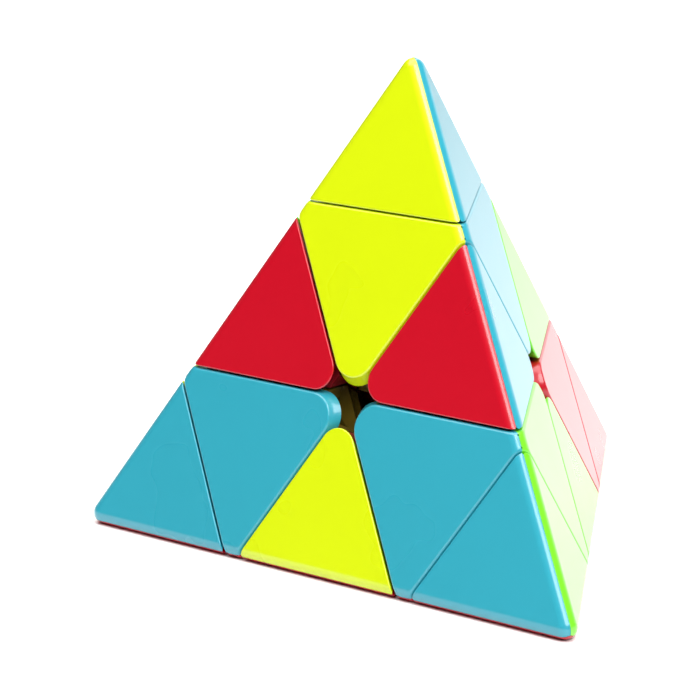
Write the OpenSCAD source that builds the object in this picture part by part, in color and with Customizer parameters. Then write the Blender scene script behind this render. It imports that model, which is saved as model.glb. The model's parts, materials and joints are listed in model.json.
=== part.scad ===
// Pyramid twisty puzzle: four tips, four corners and six edge pieces on a four-armed core.
// Lengths are in millimetres. The origin is the puzzle's centre, where the four turning axes meet.
// It rests on its base face, below the centre, and its top corner points up the Z axis.

/* [Body] */
// Edge of the pyramid before its edges and corners are rounded
edge = 102; // [98:1:108]
// Radius of the rounding along the pyramid's edges and at its four corners
round_r = 2.2; // [1.8:0.1:2.6]
// Gap between neighbouring pieces
gap = 0.4; // [0.3:0.05:0.5]
// Gap between a tip and its corner
tip_gap = 0.3; // [0.25:0.05:0.4]
// Where a tip is cut off, as a share of the edge from its corner
tip_share = 0.3245; // [0.322:0.0005:0.327]
// Where a turning layer ends, as a share of the edge from its corner
layer_share = 0.663; // [0.661:0.001:0.666]

/* [Tiles] */
// Thickness of the coloured tiles
tile_t = 2.2; // [2:0.1:2.4]
// Radius of the tile corners that meet at the middle of each face
inner_corner_r = 3.4; // [3:0.1:3.8]
// Radius of the tile corners near the pyramid's edges
outer_corner_r = 1.4; // [1.2:0.1:1.6]
// Wall thickness of the frames behind the tiles
wall = 1.8; // [1.6:0.1:2]
// Depth of the locating rim behind a tile
rim_depth = 1.2; // [1:0.1:1.4]
// Thickness of that rim
rim_t = 1; // [0.8:0.1:1.2]

/* [Mechanism] */
// Radius of the core's central ball
core_r = 7.2; // [6.8:0.1:7.4]
// Radius of each arm of the core
arm_r = 3.6; // [3.4:0.1:3.8]
// Inner radius of the feet of the edge pieces
foot_in_r = 9.2; // [9.1:0.1:9.5]
// Outer radius of the feet
foot_out_r = 11.6; // [11.4:0.1:11.8]
// Outer radius of the corner flanges that hold the feet down
flange_out_r = 14.5; // [14.4:0.1:14.6]
// Running clearance between the feet and the flanges
run_gap = 0.25; // [0.2:0.05:0.3]
// Height of a layer's underside among the feet, from the centre
foot_d = 4; // [3.9:0.1:4.3]
// Height of a layer's underside among the flanges and necks
neck_d = 6.2; // [6.1:0.1:6.3]

/* [Hardware] */
// Radius of the screw that holds a corner on its arm
screw_r = 1.45; // [1.35:0.05:1.5]
// Radius of the screw head and of the washer under it
head_r = 2.8; // [2.6:0.1:2.85]
// Radius of the spring wire
wire_r = 0.35; // [0.3:0.05:0.4]
// Number of turns in a spring
spring_turns = 5; // [4:1:5]

/* [Hidden] */
$fn = 72;

// Turning axes, from the centre to each corner. A face is named by the corner opposite it.
TOP = [0, 0, 1];
LEFT = [-sqrt(2 / 3), -sqrt(2) / 3, -1 / 3];
RIGHT = [sqrt(2 / 3), -sqrt(2) / 3, -1 / 3];
BACK = [0, 2 * sqrt(2) / 3, -1 / 3];
AXES = [TOP, LEFT, RIGHT, BACK];

// Pole of the balls that shape an edge piece, square to both of its turning axes
edge_pole = cross(LEFT, RIGHT);

// Plastic colours
YELLOW = [0.90, 0.94, 0.02];
RED = [0.82, 0.07, 0.14];
BLUE = [0.22, 0.68, 0.82];
GREEN = [0.55, 0.90, 0.25];

height = edge * sqrt(2 / 3);
face_d = height / 4;                       // centre to each face
corner_d = 3 * face_d;                     // centre to each sharp corner
tip_d = height * (3 / 4 - tip_share);      // centre to the cut between a tip and its corner
layer_d = height * (3 / 4 - layer_share);  // centre to the cut under a turning layer
side_gap = gap / 2;
seam = 0.03;                               // half the gap between tiles of one piece
overlap = 0.2;                             // how far joined shapes run into each other
fit_gap = 0.1;                             // clearance round a tile's rim
shaft_r = 1.5 * inner_corner_r;            // opening in the frames behind the middle of a face
big = 3 * edge;                            // larger than the whole puzzle

// Distances from the centre along a turning axis
hole_end = core_r - 4.7;
arm_end = core_r + 2;
hub_start = arm_end + 0.25;
cup_floor = hub_start + 1.9;
washer_start = cup_floor + 4.8;
washer_t = 0.5;
head_start = washer_start + washer_t;
head_h = 2;
lip_start = tip_d - 3.6;                   // lip that holds a tip's stem
cup_neck = lip_start - 7;
stem_end = lip_start - 2.2;

hub_r = 5.6;
cup_r = 3.2;
undercut_r = 4.5;
mouth_r = 3.85;
stem_r = 3.55;
stem_bore_r = 2.4;
barb_r = 4.2;
barb_h = 2;
slot_w = 1;
slot_l = 4;
screw_hole_r = 1.75;
recess_w = 0.8;
recess_l = 3.4;

spring_r = 2.25;
ring_sides = 6;
rings_per_turn = 14;
ring_count = spring_turns * rings_per_turn;
spring_low = cup_floor + 0.15 + wire_r;
spring_high = washer_start - wire_r;

function unit(v) = v / norm(v);

// Points on an arc about a centre, from one angle to another
function arc(centre, r, from, to, steps = 6) = [
    for (k = [0 : steps])
        let (t = from + (to - from) * k / steps)
            centre + r * [cos(t), sin(t)]
];

// A 60 degree wedge that points along +Y, its point at y = point and its back at y = back, with
// rounded corners
function wedge(point, back, point_r, back_r) =
    let (cy = back + back_r, cx = (point - cy - 2 * back_r) / sqrt(3))
    concat(
        arc([0, point - 2 * point_r], point_r, 30, 150),
        arc([-cx, cy], back_r, 150, 270),
        arc([cx, cy], back_r, 270, 390)
    );

// Height on a face, from its middle towards a corner, of the cut at a distance along that axis
function on_face(d) = (d - face_d / 3) * 3 / sqrt(8);

// Turns +Z to a direction, with +Y on the side of a second one
module facing(direction, towards) {
    z = unit(direction);
    y = unit(towards - (towards * z) * z);
    x = cross(y, z);
    multmatrix([
        [x[0], y[0], z[0], 0],
        [x[1], y[1], z[1], 0],
        [x[2], y[2], z[2], 0],
        [0, 0, 0, 1]
    ]) children();
}

// Turns +Z to a direction
module along(direction) {
    n = unit(direction);
    rotate([0, acos(n[2]), atan2(n[1], n[0])]) children();
}

// Everything less than d from the centre along a direction
module below(direction, d) {
    along(direction) translate([-big / 2, -big / 2, d - big]) cube(big);
}

// Everything more than d from the centre along a direction
module above(direction, d) {
    along(direction) translate([-big / 2, -big / 2, d]) cube(big);
}

// A ball with a pole on one side and the seam between its poles on another
module ball(r, pole, seam_side) {
    facing(pole, cross(pole, seam_side)) sphere(r = r);
}

module shell(inner_r, outer_r, pole, seam_side) {
    difference() {
        ball(outer_r, pole, seam_side);
        ball(inner_r, pole, seam_side);
    }
}

// A round bar along a turning axis
module bar(axis, r, from, to) {
    along(axis) translate([0, 0, from]) cylinder(h = to - from, r = r);
}

// The space behind the tiles
module inside(d) {
    intersection() {
        below(-TOP, d);
        below(-LEFT, d);
        below(-RIGHT, d);
        below(-BACK, d);
    }
}

// The opening behind the middle of a face
module face_shaft(face) {
    bar(-face, shaft_r, flange_out_r + 1, face_d + 1);
}

// What the rounding takes off a tile along the edge that it shares with the next face
module rounded_off(face, next) {
    f = -face;
    g = -next;
    middle = unit(f + g);
    quarter = unit(f + middle);
    bend = 1.5 * (face_d - round_r) * (f + g);
    above(middle, middle * bend + round_r);
    above(quarter, quarter * bend + round_r);
    above(g - f, -seam);
}

// A slab of a tile's thickness on a face
module slab(face) {
    intersection() {
        below(-face, face_d);
        above(-face, face_d - tile_t);
    }
}

// The locating rim behind a tile: the edge of the first child, as deep as the rim
module tile_rim(face) {
    intersection() {
        difference() {
            children(0);
            children(1);
        }
        above(-face, face_d - tile_t - rim_depth);
        below(-face, face_d - tile_t + 0.2);
    }
}

// ---- Core and hardware ----

module core() {
    color([0.93, 0.93, 0.90]) difference() {
        union() {
            facing(TOP + LEFT, TOP - LEFT) rotate(45) sphere(r = core_r);
            for (n = AXES) bar(n, arm_r, core_r - 2.5, arm_end);
        }
        for (n = AXES) bar(n, screw_r, hole_end, arm_end + 1);
    }
}

module screw() {
    difference() {
        union() {
            bar(TOP, screw_r, hole_end + 0.3, head_start);
            bar(TOP, head_r, head_start, head_start + head_h);
        }
        for (turn = [0, 90])
            rotate(turn) translate([-recess_w / 2, -recess_l / 2, head_start + head_h / 2])
                cube([recess_w, recess_l, head_h]);
    }
}

module tension_screws() {
    color([0.75, 0.76, 0.78]) for (n = AXES) along(n) screw();
}

module washers() {
    color([0.78, 0.79, 0.80]) for (n = AXES) difference() {
        bar(n, head_r, washer_start, head_start);
        bar(n, screw_r, washer_start - 1, head_start + 1);
    }
}

// A point on the surface of the spring's wire: the kth ring along the coil, the jth point round it
function coil_point(k, j) =
    let (
        turn = 360 * k / rings_per_turn,
        side = 360 * j / ring_sides,
        r = spring_r + wire_r * cos(side),
        rise = (spring_high - spring_low) * k / ring_count
    )
    [r * cos(turn), r * sin(turn), spring_low + rise + wire_r * sin(side)];

module spring() {
    points = [for (k = [0 : ring_count], j = [0 : ring_sides - 1]) coil_point(k, j)];
    sides = [
        for (k = [0 : ring_count - 1], j = [0 : ring_sides - 1])
            let (a = k * ring_sides + j, b = k * ring_sides + (j + 1) % ring_sides)
                [a, a + ring_sides, b + ring_sides, b]
    ];
    first = [for (j = [0 : ring_sides - 1]) j];
    last = [for (j = [0 : ring_sides - 1]) (ring_count + 1) * ring_sides - 1 - j];
    polyhedron(points, concat(sides, [first, last]));
}

module tension_springs() {
    color([0.70, 0.71, 0.73]) for (n = AXES) along(n) spring();
}

// ---- Tips. Each is drawn as the top one, and its tile as the one on the front face ----

// The body of a tip, with a slotted stem that snaps under the lip in its corner and turns there
module tip_base(own, tint) {
    color(tint) facing(own, own == TOP ? BACK : TOP) difference() {
        union() {
            intersection() {
                inside(face_d - tile_t);
                above(TOP, tip_d + tip_gap / 2);
            }
            bar(TOP, stem_r, stem_end, tip_d + 1);
            translate([0, 0, stem_end]) cylinder(h = barb_h / 2, r1 = stem_r, r2 = barb_r);
            translate([0, 0, stem_end + barb_h / 2]) cylinder(h = barb_h / 2, r1 = barb_r, r2 = stem_r);
        }
        bar(TOP, stem_bore_r, stem_end - 1, tip_d + 6);
        for (turn = [0, 90])
            rotate(turn) translate([-slot_w / 2, -2 * stem_r, stem_end - 1])
                cube([slot_w, 4 * stem_r, slot_l + 1]);
    }
}

module tip_tile(own, face, tint) {
    color(tint) facing(own, face) difference() {
        intersection() {
            slab(BACK);
            above(TOP, tip_d + tip_gap / 2);
            // Flat top and bevel of the rounded corner
            below(TOP, corner_d - 2 * round_r);
            translate([0, 0, corner_d - (3 - sqrt(2)) * round_r - big])
                cylinder(h = big, r1 = big, r2 = 0);
        }
        rounded_off(BACK, LEFT);
        rounded_off(BACK, RIGHT);
    }
}

// ---- Corners. Each is drawn as the top one, and its tile as the one on the front face ----

// The space of a corner piece, drawn in from its neighbours
module corner_space(inset = 0) {
    intersection() {
        below(TOP, tip_d - tip_gap / 2 - inset);
        below(LEFT, layer_d - side_gap - inset);
        below(RIGHT, layer_d - side_gap - inset);
        below(BACK, layer_d - side_gap - inset);
    }
}

// The pocket behind a corner's front tile, in from the walls round it
module corner_pocket(inset = 0) {
    difference() {
        intersection() {
            corner_space(wall + inset);
            above(LEFT - BACK, wall / 2 + inset);
            above(RIGHT - BACK, wall / 2 + inset);
            below(-BACK, face_d - tile_t + 1);
        }
        ball(flange_out_r + wall + inset, TOP, BACK);
        bar(TOP, hub_r + inset, 0, tip_d);
    }
}

// A corner's flange, which turns over the feet of its three edge pieces
module flange() {
    intersection() {
        union() {
            intersection() {
                shell(foot_out_r + run_gap, flange_out_r, TOP, BACK);
                above(TOP, neck_d + side_gap);
            }
            intersection() {
                shell(flange_out_r - overlap, flange_out_r + 1, TOP, BACK);
                above(TOP, layer_d + side_gap);
            }
        }
        below(LEFT, neck_d - side_gap);
        below(RIGHT, neck_d - side_gap);
        below(BACK, neck_d - side_gap);
    }
}

// A corner's frame: a hub on the core's arm, the flange, and walls behind its tiles
module corner_frame(own, tint) {
    color(tint) facing(own, own == TOP ? BACK : TOP) difference() {
        union() {
            difference() {
                intersection() {
                    corner_space();
                    inside(face_d - tile_t);
                    above(TOP, layer_d + side_gap);
                }
                ball(flange_out_r + run_gap, TOP, BACK);
                for (face = [LEFT, RIGHT, BACK]) face_shaft(face);
            }
            flange();
            bar(TOP, hub_r, hub_start, tip_d - tip_gap / 2 - 1);
        }
        for (turn = [0, 120, 240]) rotate(turn) corner_pocket();
        bar(TOP, screw_hole_r, hub_start - 1, cup_floor + 1);
        bar(TOP, cup_r, cup_floor, cup_neck + 1);
        bar(TOP, undercut_r, cup_neck, lip_start);
        bar(TOP, mouth_r, lip_start - 1, tip_d);
    }
}

module corner_tile(own, face, tint) {
    point = 2 * on_face(layer_d - side_gap);
    color(tint) facing(own, face) union() {
        difference() {
            intersection() {
                slab(BACK);
                corner_space();
                facing(-BACK, -TOP) linear_extrude(height = 2 * face_d)
                    polygon(wedge(point, -on_face(tip_d - tip_gap / 2), inner_corner_r, outer_corner_r));
            }
            rounded_off(BACK, LEFT);
            rounded_off(BACK, RIGHT);
        }
        tile_rim(BACK) {
            corner_pocket(fit_gap);
            corner_pocket(fit_gap + rim_t);
        }
    }
}

// ---- Edge pieces. Each is drawn as the one between the base and front faces, its tile as the
// one on the base ----

// The space of an edge piece, drawn in from its neighbours
module edge_space(inset = 0) {
    intersection() {
        above(LEFT, layer_d + side_gap + inset);
        above(RIGHT, layer_d + side_gap + inset);
    }
}

// The pocket behind an edge tile, in from the walls round it
module edge_pocket(face, next, inset = 0) {
    difference() {
        intersection() {
            edge_space(wall + inset);
            above(next - face, wall / 2 + inset);
            below(-face, face_d - tile_t + 1);
        }
        ball(flange_out_r + wall + inset, edge_pole, -LEFT - RIGHT);
        bar(-face, shaft_r + wall + inset, 0, face_d + 1);
    }
}

// The part of a shell that is in both layers of an edge piece
module in_both_layers(inner_r, outer_r, d) {
    intersection() {
        shell(inner_r, outer_r, edge_pole, -LEFT - RIGHT);
        above(LEFT, d + side_gap);
        above(RIGHT, d + side_gap);
    }
}

// An edge piece's frame: walls behind its tiles, a neck, and a foot under two corner flanges
module edge_frame(face, next, tint) {
    color(tint) facing(face, next) difference() {
        union() {
            difference() {
                intersection() {
                    edge_space();
                    inside(face_d - tile_t);
                }
                ball(flange_out_r - overlap, edge_pole, -LEFT - RIGHT);
                face_shaft(TOP);
                face_shaft(BACK);
            }
            in_both_layers(foot_out_r - overlap, flange_out_r, neck_d);
            in_both_layers(foot_in_r, foot_out_r, foot_d);
        }
        edge_pocket(TOP, BACK);
        edge_pocket(BACK, TOP);
    }
}

module edge_tile(face, next, tint) {
    point = -2 * on_face(layer_d + side_gap);
    color(tint) facing(face, next) union() {
        difference() {
            intersection() {
                slab(TOP);
                edge_space();
                facing(-TOP, BACK) linear_extrude(height = 2 * face_d)
                    polygon(wedge(point, -edge / sqrt(12) + round_r / 2, inner_corner_r, outer_corner_r));
            }
            rounded_off(TOP, BACK);
        }
        tile_rim(TOP) {
            edge_pocket(TOP, BACK, fit_gap);
            edge_pocket(TOP, BACK, fit_gap + rim_t);
        }
    }
}

core();
tension_screws();
tension_springs();
washers();

tip_base(TOP, YELLOW);  // tip_base_top
tip_base(LEFT, BLUE);  // tip_base_left
tip_base(RIGHT, BLUE);  // tip_base_right
tip_base(BACK, RED);  // tip_base_back

tip_tile(TOP, BACK, YELLOW);  // tip_tile_top_front
tip_tile(TOP, LEFT, BLUE);  // tip_tile_top_right
tip_tile(TOP, RIGHT, GREEN);  // tip_tile_top_left
tip_tile(LEFT, BACK, BLUE);  // tip_tile_left_front
tip_tile(LEFT, RIGHT, YELLOW);  // tip_tile_left_left
tip_tile(LEFT, TOP, RED);  // tip_tile_left_base
tip_tile(RIGHT, BACK, BLUE);  // tip_tile_right_front
tip_tile(RIGHT, LEFT, GREEN);  // tip_tile_right_right
tip_tile(RIGHT, TOP, RED);  // tip_tile_right_base
tip_tile(BACK, LEFT, RED);  // tip_tile_back_right
tip_tile(BACK, RIGHT, GREEN);  // tip_tile_back_left
tip_tile(BACK, TOP, YELLOW);  // tip_tile_back_base

corner_frame(TOP, YELLOW);  // corner_frame_top
corner_frame(LEFT, YELLOW);  // corner_frame_left
corner_frame(RIGHT, GREEN);  // corner_frame_right
corner_frame(BACK, RED);  // corner_frame_back

corner_tile(TOP, BACK, YELLOW);  // corner_tile_top_front
corner_tile(TOP, LEFT, BLUE);  // corner_tile_top_right
corner_tile(TOP, RIGHT, GREEN);  // corner_tile_top_left
corner_tile(LEFT, BACK, BLUE);  // corner_tile_left_front
corner_tile(LEFT, RIGHT, YELLOW);  // corner_tile_left_left
corner_tile(LEFT, TOP, RED);  // corner_tile_left_base
corner_tile(RIGHT, BACK, BLUE);  // corner_tile_right_front
corner_tile(RIGHT, LEFT, GREEN);  // corner_tile_right_right
corner_tile(RIGHT, TOP, RED);  // corner_tile_right_base
corner_tile(BACK, LEFT, RED);  // corner_tile_back_right
corner_tile(BACK, RIGHT, GREEN);  // corner_tile_back_left
corner_tile(BACK, TOP, YELLOW);  // corner_tile_back_base

edge_frame(BACK, RIGHT, RED);  // edge_frame_top_left
edge_frame(BACK, LEFT, RED);  // edge_frame_top_right
edge_frame(LEFT, RIGHT, GREEN);  // edge_frame_top_back
edge_frame(BACK, TOP, RED);  // edge_frame_left_right
edge_frame(RIGHT, TOP, YELLOW);  // edge_frame_left_back
edge_frame(LEFT, TOP, GREEN);  // edge_frame_right_back

edge_tile(BACK, RIGHT, RED);  // edge_tile_top_left_front
edge_tile(RIGHT, BACK, GREEN);  // edge_tile_top_left_left
edge_tile(BACK, LEFT, RED);  // edge_tile_top_right_front
edge_tile(LEFT, BACK, BLUE);  // edge_tile_top_right_right
edge_tile(LEFT, RIGHT, GREEN);  // edge_tile_top_back_right
edge_tile(RIGHT, LEFT, YELLOW);  // edge_tile_top_back_left
edge_tile(BACK, TOP, YELLOW);  // edge_tile_left_right_front
edge_tile(TOP, BACK, RED);  // edge_tile_left_right_base
edge_tile(RIGHT, TOP, YELLOW);  // edge_tile_left_back_left
edge_tile(TOP, RIGHT, BLUE);  // edge_tile_left_back_base
edge_tile(LEFT, TOP, GREEN);  // edge_tile_right_back_right
edge_tile(TOP, LEFT, BLUE);  // edge_tile_right_back_base
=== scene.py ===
import json
import math

import bpy
import numpy as np
from mathutils import Matrix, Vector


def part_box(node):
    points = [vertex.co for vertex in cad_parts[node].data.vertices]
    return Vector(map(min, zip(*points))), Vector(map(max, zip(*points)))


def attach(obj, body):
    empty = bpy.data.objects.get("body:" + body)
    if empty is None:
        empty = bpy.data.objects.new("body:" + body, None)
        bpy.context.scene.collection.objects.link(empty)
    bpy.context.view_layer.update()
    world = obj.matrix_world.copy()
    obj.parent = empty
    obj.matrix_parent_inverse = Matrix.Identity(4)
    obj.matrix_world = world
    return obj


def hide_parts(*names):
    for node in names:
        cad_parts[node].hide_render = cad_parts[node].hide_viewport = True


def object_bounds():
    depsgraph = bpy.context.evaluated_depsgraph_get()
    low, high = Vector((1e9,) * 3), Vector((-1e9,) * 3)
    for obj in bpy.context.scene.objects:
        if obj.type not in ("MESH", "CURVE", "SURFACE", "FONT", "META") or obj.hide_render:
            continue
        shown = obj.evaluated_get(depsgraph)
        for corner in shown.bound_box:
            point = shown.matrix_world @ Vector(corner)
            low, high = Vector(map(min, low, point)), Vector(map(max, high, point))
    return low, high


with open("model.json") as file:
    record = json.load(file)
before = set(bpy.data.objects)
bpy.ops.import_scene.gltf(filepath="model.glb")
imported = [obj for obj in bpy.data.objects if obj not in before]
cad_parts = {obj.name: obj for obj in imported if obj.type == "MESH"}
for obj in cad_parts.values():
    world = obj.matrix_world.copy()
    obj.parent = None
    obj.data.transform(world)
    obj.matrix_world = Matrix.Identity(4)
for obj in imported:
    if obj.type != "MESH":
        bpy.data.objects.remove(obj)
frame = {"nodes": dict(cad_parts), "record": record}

cad_low, cad_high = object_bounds()

# ---------- The pyramid's geometry, in metres, about its centre ----------

MM = 0.001
ROOT2, ROOT3, ROOT8 = math.sqrt(2), math.sqrt(3), math.sqrt(8)
AXES = {
    "top": np.array((0, 0, 1.0)),
    "left": np.array((-math.sqrt(2 / 3), -ROOT2 / 3, -1 / 3)),
    "right": np.array((math.sqrt(2 / 3), -ROOT2 / 3, -1 / 3)),
    "back": np.array((0, ROOT8 / 3, -1 / 3)),
}
OPPOSITE = {"front": "back", "right": "left", "left": "right", "base": "top"}

FACE_D = -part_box("corner_tile_left_base")[0].z  # from the centre to a face
ROUND = 1.9 * MM  # rounding of the pyramid's own edges and corners
FILLET = 0.3 * MM  # rounding of a tile's edges at the gaps
SEAM = 0.08 * MM  # fine rounding where two colours meet on an edge
SEAM_GAP = 0.02 * MM  # how far a tile stops short of the colour seam
DEPTH = 1.85 * MM  # a tile's thickness
INNER_R = {"corner": 3.8 * MM, "edge": 3.45 * MM}  # tile corners at a face's middle
OUTER_R = {"corner": 0.35 * MM, "edge": 0.5 * MM, "tip": 0.5 * MM}
LEAST_OUTER_R = 0.12 * MM
OUTER_SHRINK = 1.4  # how fast an outer radius closes as the rings go inwards

INNER_LINE = ROOT2 * (FACE_D - ROUND)  # where a face's flat part ends
SEAM_REACH = ROUND * math.sqrt(2 / 3)  # from there to the colour seam
SEAM_DROP = ROUND * (1 - 1 / ROOT3)  # the seam's depth below the face
SEAM_LINE = INNER_LINE + SEAM_REACH - SEAM_GAP
APEX = math.acos(1 / ROOT3)  # how far a seam turns, from an edge to a corner's top
LEAST_ROOT = 0.02 * ROUND  # floor under the rounding's root, at and past its rim

# How finely the tiles are meshed
FILLET_DEGREES = (90, 76, 62, 48, 34, 20, 8, 0)  # from the wall up to the face
BEVEL_RINGS = 10
PAST_BEVEL = 0.05 * MM  # how far the last bevel ring goes past the bevel
FLAT_RINGS = (0.1 * MM, 0.2 * MM)  # more rings on the flat, to keep its shading flat
WALL_SHARES = (0.4, 0.75, 1.0)  # rings down the wall, as shares of its depth
APEX_STEPS = 8  # along each seam, from the edge to the corner's top
LEAST_APEX = 0.05  # the smallest share of its size that the apex closes to
INNER_STEPS, OUTER_STEPS = 18, 10  # round a tile corner's arc
SIDE_STEPS, SHORT_SIDE_STEPS = 44, 8
SHARP_EDGE = math.radians(38)


def height_on_face(distance):
    """In-plane height, towards a corner, of a plane square to that corner's axis."""
    return (distance - FACE_D / 3) * 3 / ROOT8


TIP_ABOVE = height_on_face(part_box("tip_tile_top_front")[0].z)
TIP_BELOW = height_on_face(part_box("corner_tile_top_front")[1].z)
LAYER_BELOW = height_on_face(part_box("corner_tile_left_front")[1].z)
LAYER_ABOVE = height_on_face(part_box("edge_tile_top_left_front")[0].z)


def face_frame(face, own):
    """Columns x, y and z: z is the face's outward normal, y points at a corner."""
    z = -AXES[OPPOSITE[face]]
    y = AXES[own] - (AXES[own] @ z) * z
    y /= np.linalg.norm(y)
    return np.column_stack((np.cross(y, z), y, z))


def directions(face, own):
    """In-plane unit directions of the face's three corners."""
    m = face_frame(face, own)
    return {
        c: np.array((a @ m[:, 0], a @ m[:, 1])) * 3 / ROOT8
        for c, a in AXES.items()
        if c != OPPOSITE[face]
    }


# ---------- Tile outlines: sides with a gap, and sides on a colour seam ----------

# A side has its outward normal, the line it lies on, the wall's slant (how far it moves
# in the plane for each unit of depth), its share of the gap fillet, and the depth of its
# border below the face.
SEAM_SHARE = SEAM / FILLET


def gap(normal, line, towards):
    return dict(normal=normal, line=line, slant=towards / ROOT8, share=1.0, start=0.0)


def seam(normal):
    slant = -ROOT2 * normal
    return dict(
        normal=normal, line=SEAM_LINE, slant=slant, share=SEAM_SHARE, start=SEAM_DROP
    )


def is_gap(side):
    return side["share"] == 1


def tile_sides(kind, owners, ways):
    """A tile's sides in order round it; owners are the corners it belongs to."""
    others = [w for c, w in ways.items() if c not in owners]
    up = ways[owners[0]]
    if kind == "tip":
        sides = [gap(-up, -TIP_ABOVE, up)]
    elif kind == "corner":
        sides = [gap(up, TIP_BELOW, up)] + [gap(w, LAYER_BELOW, w) for w in others]
    else:
        sides = [gap(-ways[c], -LAYER_ABOVE, ways[c]) for c in owners]
    sides += [seam(-w) for w in others]
    return sorted(sides, key=lambda s: math.atan2(s["normal"][1], s["normal"][0]))


def meet(a, line_a, b, line_b):
    """The point where two lines meet, each given by its normal and distance."""
    return np.linalg.solve(np.array((a, b)), np.array((line_a, line_b)))


def edge_drop(p, ways):
    """Depth below the face of the pyramid's rounded edges and corners, at a point."""
    if max(-(w @ p) for w in ways) <= INNER_LINE:
        return 0.0
    corners = [INNER_LINE * 2 * w for w in ways]
    away = []
    for a, b in zip(corners, corners[1:] + corners[:1]):
        t = min(1.0, max(0.0, ((p - a) @ (b - a)) / ((b - a) @ (b - a))))
        away.append(np.linalg.norm(p - a - t * (b - a)))
    return ROUND - math.sqrt(max(ROUND**2 - min(away) ** 2, LEAST_ROOT**2))


def ring_steps():
    """(inset at a gap, depth factor, inset at a seam) from a tile's border inwards."""
    rings = []
    for degrees in FILLET_DEGREES:
        t = math.radians(degrees)
        inset = 1 - math.sin(t)
        rings.append((FILLET * inset, 1 - math.cos(t), SEAM * inset))
    widest = SEAM_REACH + PAST_BEVEL - SEAM
    for k in range(1, BEVEL_RINGS + 1):
        past_seam = widest * math.sin(math.pi / 2 * k / BEVEL_RINGS)
        rings.append((FILLET + past_seam / 2, 0.0, SEAM + past_seam))
    for flat in FLAT_RINGS:
        rings.append((rings[-1][0] + flat / 2, 0.0, rings[-1][2] + flat))
    return rings


def graded(n):
    """Steps along a side, finer at its ends."""
    return [0.5 - 0.5 * math.cos(math.pi * k / n) for k in range(1, n)]


def apex_corner(a, b, seam_inset):
    """Two seams meet on the pyramid's corner: the border follows its great circles."""
    past = max(seam_inset - SEAM_REACH, 0.0)
    shrink = max(1 - seam_inset / SEAM_REACH, LEAST_APEX)
    centre = meet(a["normal"], INNER_LINE - past, b["normal"], INNER_LINE - past)
    turns = [(a, k, 1) for k in range(APEX_STEPS + 1)]
    turns += [(b, k, -1) for k in range(APEX_STEPS - 1, -1, -1)]
    points = []
    for side, k, way in turns:
        phi = APEX * k / APEX_STEPS
        normal = side["normal"]
        along = way * np.array((-normal[1], normal[0]))
        out = SEAM_REACH * math.cos(phi) * normal + ROUND * math.sin(phi) * along
        slant = -(ROOT2 * normal + ROOT3 * math.tan(phi) * along)
        start = ROUND * (1 - math.cos(phi) / ROOT3)
        points.append((centre + shrink * out, slant, side["share"], start, slant))
    return points


def round_corner(a, b, kind, inset, seam_inset):
    """Two sides meet in an arc, and what they differ in is eased along it."""
    both_gaps = is_gap(a) and is_gap(b)
    if both_gaps:
        r = INNER_R[kind] - inset
    else:
        r = max(OUTER_R[kind] - OUTER_SHRINK * inset, LEAST_OUTER_R)
    count = INNER_STEPS if both_gaps else OUTER_STEPS
    na, nb = a["normal"], b["normal"]
    line_a, line_b = (s["line"] - (inset if is_gap(s) else seam_inset) for s in (a, b))
    centre = meet(na, line_a - r, nb, line_b - r)
    turn = math.acos(max(-1.0, min(1.0, na @ nb)))
    first = math.atan2(na[1], na[0])
    wall = meet(na, na @ a["slant"], nb, nb @ b["slant"])
    points = []
    for k in range(count + 1):
        t = k / count
        ease = t * t * (3 - 2 * t)
        angle = first + turn * t
        point = centre + r * np.array((math.cos(angle), math.sin(angle)))
        eased = [a[x] * (1 - ease) + b[x] * ease for x in ("slant", "share", "start")]
        points.append((point, *eased, wall))
    return points


def outline(sides, kind, inset, seam_inset):
    """One ring: points, slant, share of the gap fillet, seam depth and wall slant."""
    corners = []
    for a, b in zip(sides, sides[1:] + sides[:1]):
        if is_gap(a) or is_gap(b):
            corners.append(round_corner(a, b, kind, inset, seam_inset))
        else:
            corners.append(apex_corner(a, b, seam_inset))
    ring = []
    for i, side in enumerate(sides):
        p, wall = corners[i - 1][-1][0], corners[i - 1][-1][4]
        q, wall_end = corners[i][0][0], corners[i][0][4]
        short = not is_gap(side) and kind == "corner"
        for t in graded(SHORT_SIDE_STEPS if short else SIDE_STEPS):
            lean = wall + (wall_end - wall) * t
            ring.append((p + (q - p) * t, side["slant"], side["share"], side["start"], lean))
        ring += corners[i]
    return ring


def face_rows(sides, kind, ways):
    """The rings of a tile's upper surface, as (point, drop, wall slant)."""
    rows = []
    for inset, factor, seam_inset in ring_steps():
        fade = max(0.0, 1 - inset / FILLET)
        row = []
        for p, slant, share, start, wall in outline(sides, kind, inset, seam_inset):
            extra = factor * share * FILLET
            gapness = (share - SEAM_SHARE) / (1 - SEAM_SHARE)
            surface = edge_drop(p, ways)
            q = p + slant * (surface + extra - start) * fade
            surface += gapness * (edge_drop(q, ways) - surface)
            row.append((q, surface + extra, wall))
        rows.append(row)
    return rows


def wall_row(border, share):
    """A ring down the tile's wall, at a share of the way to its underside."""
    row = []
    for q, drop, wall in border:
        down = (DEPTH - drop) * share
        row.append((q + wall * down, drop + down, wall))
    return row


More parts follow.
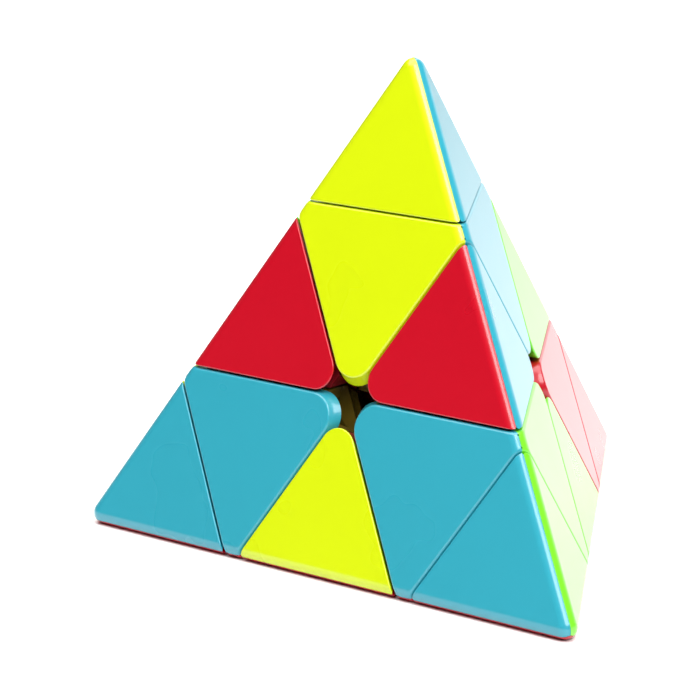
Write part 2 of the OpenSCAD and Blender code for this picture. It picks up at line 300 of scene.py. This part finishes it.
def tile_mesh(name, kind, face, owners):
    """A closed tile: underside, walls, fillet and bevel rings, and the flat top."""
    ways = directions(face, owners[0])
    rows = face_rows(tile_sides(kind, owners, ways), kind, list(ways.values()))
    rows = [wall_row(rows[0], share) for share in WALL_SHARES[::-1]] + rows
    flat = np.array([(q[0], q[1], FACE_D - drop) for row in rows for q, drop, _ in row])
    count = len(rows[0])
    last = (len(rows) - 1) * count
    faces = [tuple(range(count))[::-1]]
    for low in range(0, last, count):
        for k in range(count):
            n = (k + 1) % count
            faces.append((low + k, low + n, low + count + n, low + count + k))
    faces.append(tuple(range(last, last + count)))
    mesh = bpy.data.meshes.new(name)
    placed = flat @ face_frame(face, owners[0]).T
    mesh.from_pydata([tuple(v) for v in placed], [], faces)
    mesh.shade_smooth()
    mesh.set_sharp_from_angle(angle=SHARP_EDGE)
    mesh.validate()
    made = bpy.data.objects.new(name, mesh)
    bpy.context.scene.collection.objects.link(made)
    return made


# ---------- Materials ----------


def nodes_of(name):
    made = bpy.data.materials.new(name)
    made.use_nodes = True
    tree = made.node_tree
    return made, tree, tree.nodes["Principled BSDF"]


def noise(tree, scale, detail):
    place = tree.nodes.new("ShaderNodeTexCoord")
    made = tree.nodes.new("ShaderNodeTexNoise")
    made.inputs["Scale"].default_value = scale
    made.inputs["Detail"].default_value = detail
    tree.links.new(place.outputs["Object"], made.inputs["Vector"])
    return made.outputs["Fac"]


def ranged(tree, value, low, high):
    made = tree.nodes.new("ShaderNodeMapRange")
    made.inputs["To Min"].default_value = low
    made.inputs["To Max"].default_value = high
    tree.links.new(value, made.inputs["Value"])
    return made.outputs["Result"]


def tinted(tree, value, colour, spread):
    made = tree.nodes.new("ShaderNodeMix")
    made.data_type = "RGBA"
    made.inputs["A"].default_value = (*[c * (1 - spread) for c in colour], 1)
    made.inputs["B"].default_value = (*[min(c * (1 + spread), 1) for c in colour], 1)
    tree.links.new(value, made.inputs["Factor"])
    return made.outputs["Result"]


def bumped(tree, shader, value, depth, strength):
    made = tree.nodes.new("ShaderNodeBump")
    made.inputs["Distance"].default_value = depth
    made.inputs["Strength"].default_value = strength
    tree.links.new(value, made.inputs["Height"])
    tree.links.new(made.outputs["Normal"], shader.inputs["Normal"])


SATIN = (0.26, 0.30)  # the tiles' roughness
DULL = (0.4, 0.5)  # the frames' roughness


def plastic(name, colour, rough=SATIN, grain=0.35):
    """Moulded plastic: faint flow marks in the tone, a fine satin grain."""
    made, tree, shader = nodes_of(name)
    flow = noise(tree, scale=55, detail=2)
    fine = noise(tree, scale=2600, detail=3)
    tone = tinted(tree, flow, colour, spread=0.02)
    tree.links.new(tone, shader.inputs["Base Color"])
    tree.links.new(ranged(tree, flow, *rough), shader.inputs["Roughness"])
    shader.inputs["IOR"].default_value = 1.5
    shader.inputs["Coat Weight"].default_value = 0.5
    shader.inputs["Coat Roughness"].default_value = 0.12
    bumped(tree, shader, fine, depth=0.012 * MM, strength=grain)
    return made


def steel(name, colour, rough):
    """Bright metal with fine streaks in its tone and roughness."""
    made, tree, shader = nodes_of(name)
    streaks = noise(tree, scale=900, detail=4)
    tone = tinted(tree, streaks, colour, spread=0.12)
    tree.links.new(tone, shader.inputs["Base Color"])
    tree.links.new(ranged(tree, streaks, *rough), shader.inputs["Roughness"])
    shader.inputs["Metallic"].default_value = 1.0
    bumped(tree, shader, streaks, depth=0.02 * MM, strength=0.3)
    return made


FINISHES = {
    "yellow_plastic": plastic("yellow_plastic", (0.57, 0.685, 0.001)),
    "red_plastic": plastic("red_plastic", (0.47, 0.001, 0.012)),
    "blue_plastic": plastic("blue_plastic", (0.026, 0.31, 0.40)),
    "green_plastic": plastic("green_plastic", (0.16, 0.66, 0.02)),
    "core_plastic": plastic("core_plastic", (0.62, 0.62, 0.58), (0.45, 0.6), 0.6),
    "screw_steel": steel("screw_steel", (0.60, 0.61, 0.63), (0.25, 0.4)),
    "spring_steel": steel("spring_steel", (0.48, 0.49, 0.51), (0.3, 0.45)),
}
# The frames behind the tiles get darker copies of the tiles' colours, painted shade for the
# hollows and gaps they sit in, and a duller finish.
SHADE_PAINTED_FRAME_FINISHES = {
    "yellow_plastic": plastic("yellow_frame", (0.15, 0.10, 0.008), DULL),
    "red_plastic": plastic("red_frame", (0.20, 0.001, 0.006), DULL),
    "blue_plastic": plastic("blue_frame", (0.01, 0.14, 0.20), DULL),
    "green_plastic": plastic("green_frame", (0.06, 0.26, 0.01), DULL),
}
SLOT = {s["node"]: s["material_slot"] for s in frame["record"]["subparts"]}

# ---------- The tiles, each in place of its CAD node ----------

for node in sorted(frame["nodes"]):
    if "_tile_" not in node:
        # frames take the darker copies (painted shade); other parts keep their own finish
        finish = SHADE_PAINTED_FRAME_FINISHES.get(SLOT[node], FINISHES[SLOT[node]])
        materials = frame["nodes"][node].data.materials
        materials.clear()
        materials.append(finish)
        continue
    kind, _, *corners, face = node.split("_")
    tile = tile_mesh("moulded_" + node, kind, face, corners)
    tile.data.materials.append(FINISHES[SLOT[node]])
    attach(tile, "_".join([kind, *corners]))
    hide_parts(node)

# ---------- Floor, light and camera ----------

FLOOR_REACH = 4.0
FLOOR_TONE = (0.88, 0.88, 0.88)


def floor_material():
    made, tree, shader = nodes_of("floor_white")
    soft = noise(tree, scale=30, detail=2)
    tone = tinted(tree, soft, FLOOR_TONE, spread=0.01)
    tree.links.new(tone, shader.inputs["Base Color"])
    shader.inputs["Roughness"].default_value = 0.9
    shader.inputs["Specular IOR Level"].default_value = 0.0
    return made


floor_mesh = bpy.data.meshes.new("floor")
floor_mesh.from_pydata(
    [
        (x * FLOOR_REACH, y * FLOOR_REACH, cad_low.z)
        for x, y in ((-1, -1), (1, -1), (1, 1), (-1, 1))
    ],
    [],
    [(0, 1, 2, 3)],
)
floor = bpy.data.objects.new("floor", floor_mesh)
floor.data.materials.append(floor_material())
bpy.context.scene.collection.objects.link(floor)


def softbox(name, place, size, watts):
    """A rectangular light that faces the origin."""
    data = bpy.data.lights.new(name, "AREA")
    data.shape = "RECTANGLE"
    data.size, data.size_y = size
    data.energy = watts
    made = bpy.data.objects.new(name, data)
    bpy.context.scene.collection.objects.link(made)
    where = np.array(place)
    back = where / np.linalg.norm(where)
    side = np.cross((0, 0, 1), back)
    side /= np.linalg.norm(side)
    up = np.cross(back, side)
    made.matrix_world = Matrix(
        [[side[i], up[i], back[i], where[i]] for i in range(3)] + [[0, 0, 0, 1]]
    )


softbox("overhead", (-0.08, -0.02, 1.1), (1.4, 1.4), 24)
softbox("key", (0.70, -0.30, 0.80), (0.7, 0.7), 12)
softbox("behind", (-0.2, 1.7, 0.42), (2.2, 0.8), 9)

world = bpy.data.worlds.new("studio")
world.use_nodes = True
background = world.node_tree.nodes["Background"]
background.inputs["Color"].default_value = (1, 1, 1, 1)
background.inputs["Strength"].default_value = 0.05
bpy.context.scene.world = world
bpy.context.scene.view_settings.view_transform = "Standard"

# The camera's lens and place were fitted to the viewing angle of the photo.
camera_data = bpy.data.cameras.new("camera")
camera_data.lens = 149.92
camera_data.sensor_width = 36
camera_data.clip_start = 0.01
camera = bpy.data.objects.new("camera", camera_data)
camera.matrix_world = Matrix(
    (
        (0.79245, -0.15334, 0.59034, 0.27232),
        (0.60955, 0.2333, -0.75764, -0.36765),
        (-0.02154, 0.96024, 0.27835, 0.14321),
        (0, 0, 0, 1),
    )
)
bpy.context.scene.collection.objects.link(camera)
bpy.context.scene.camera = camera
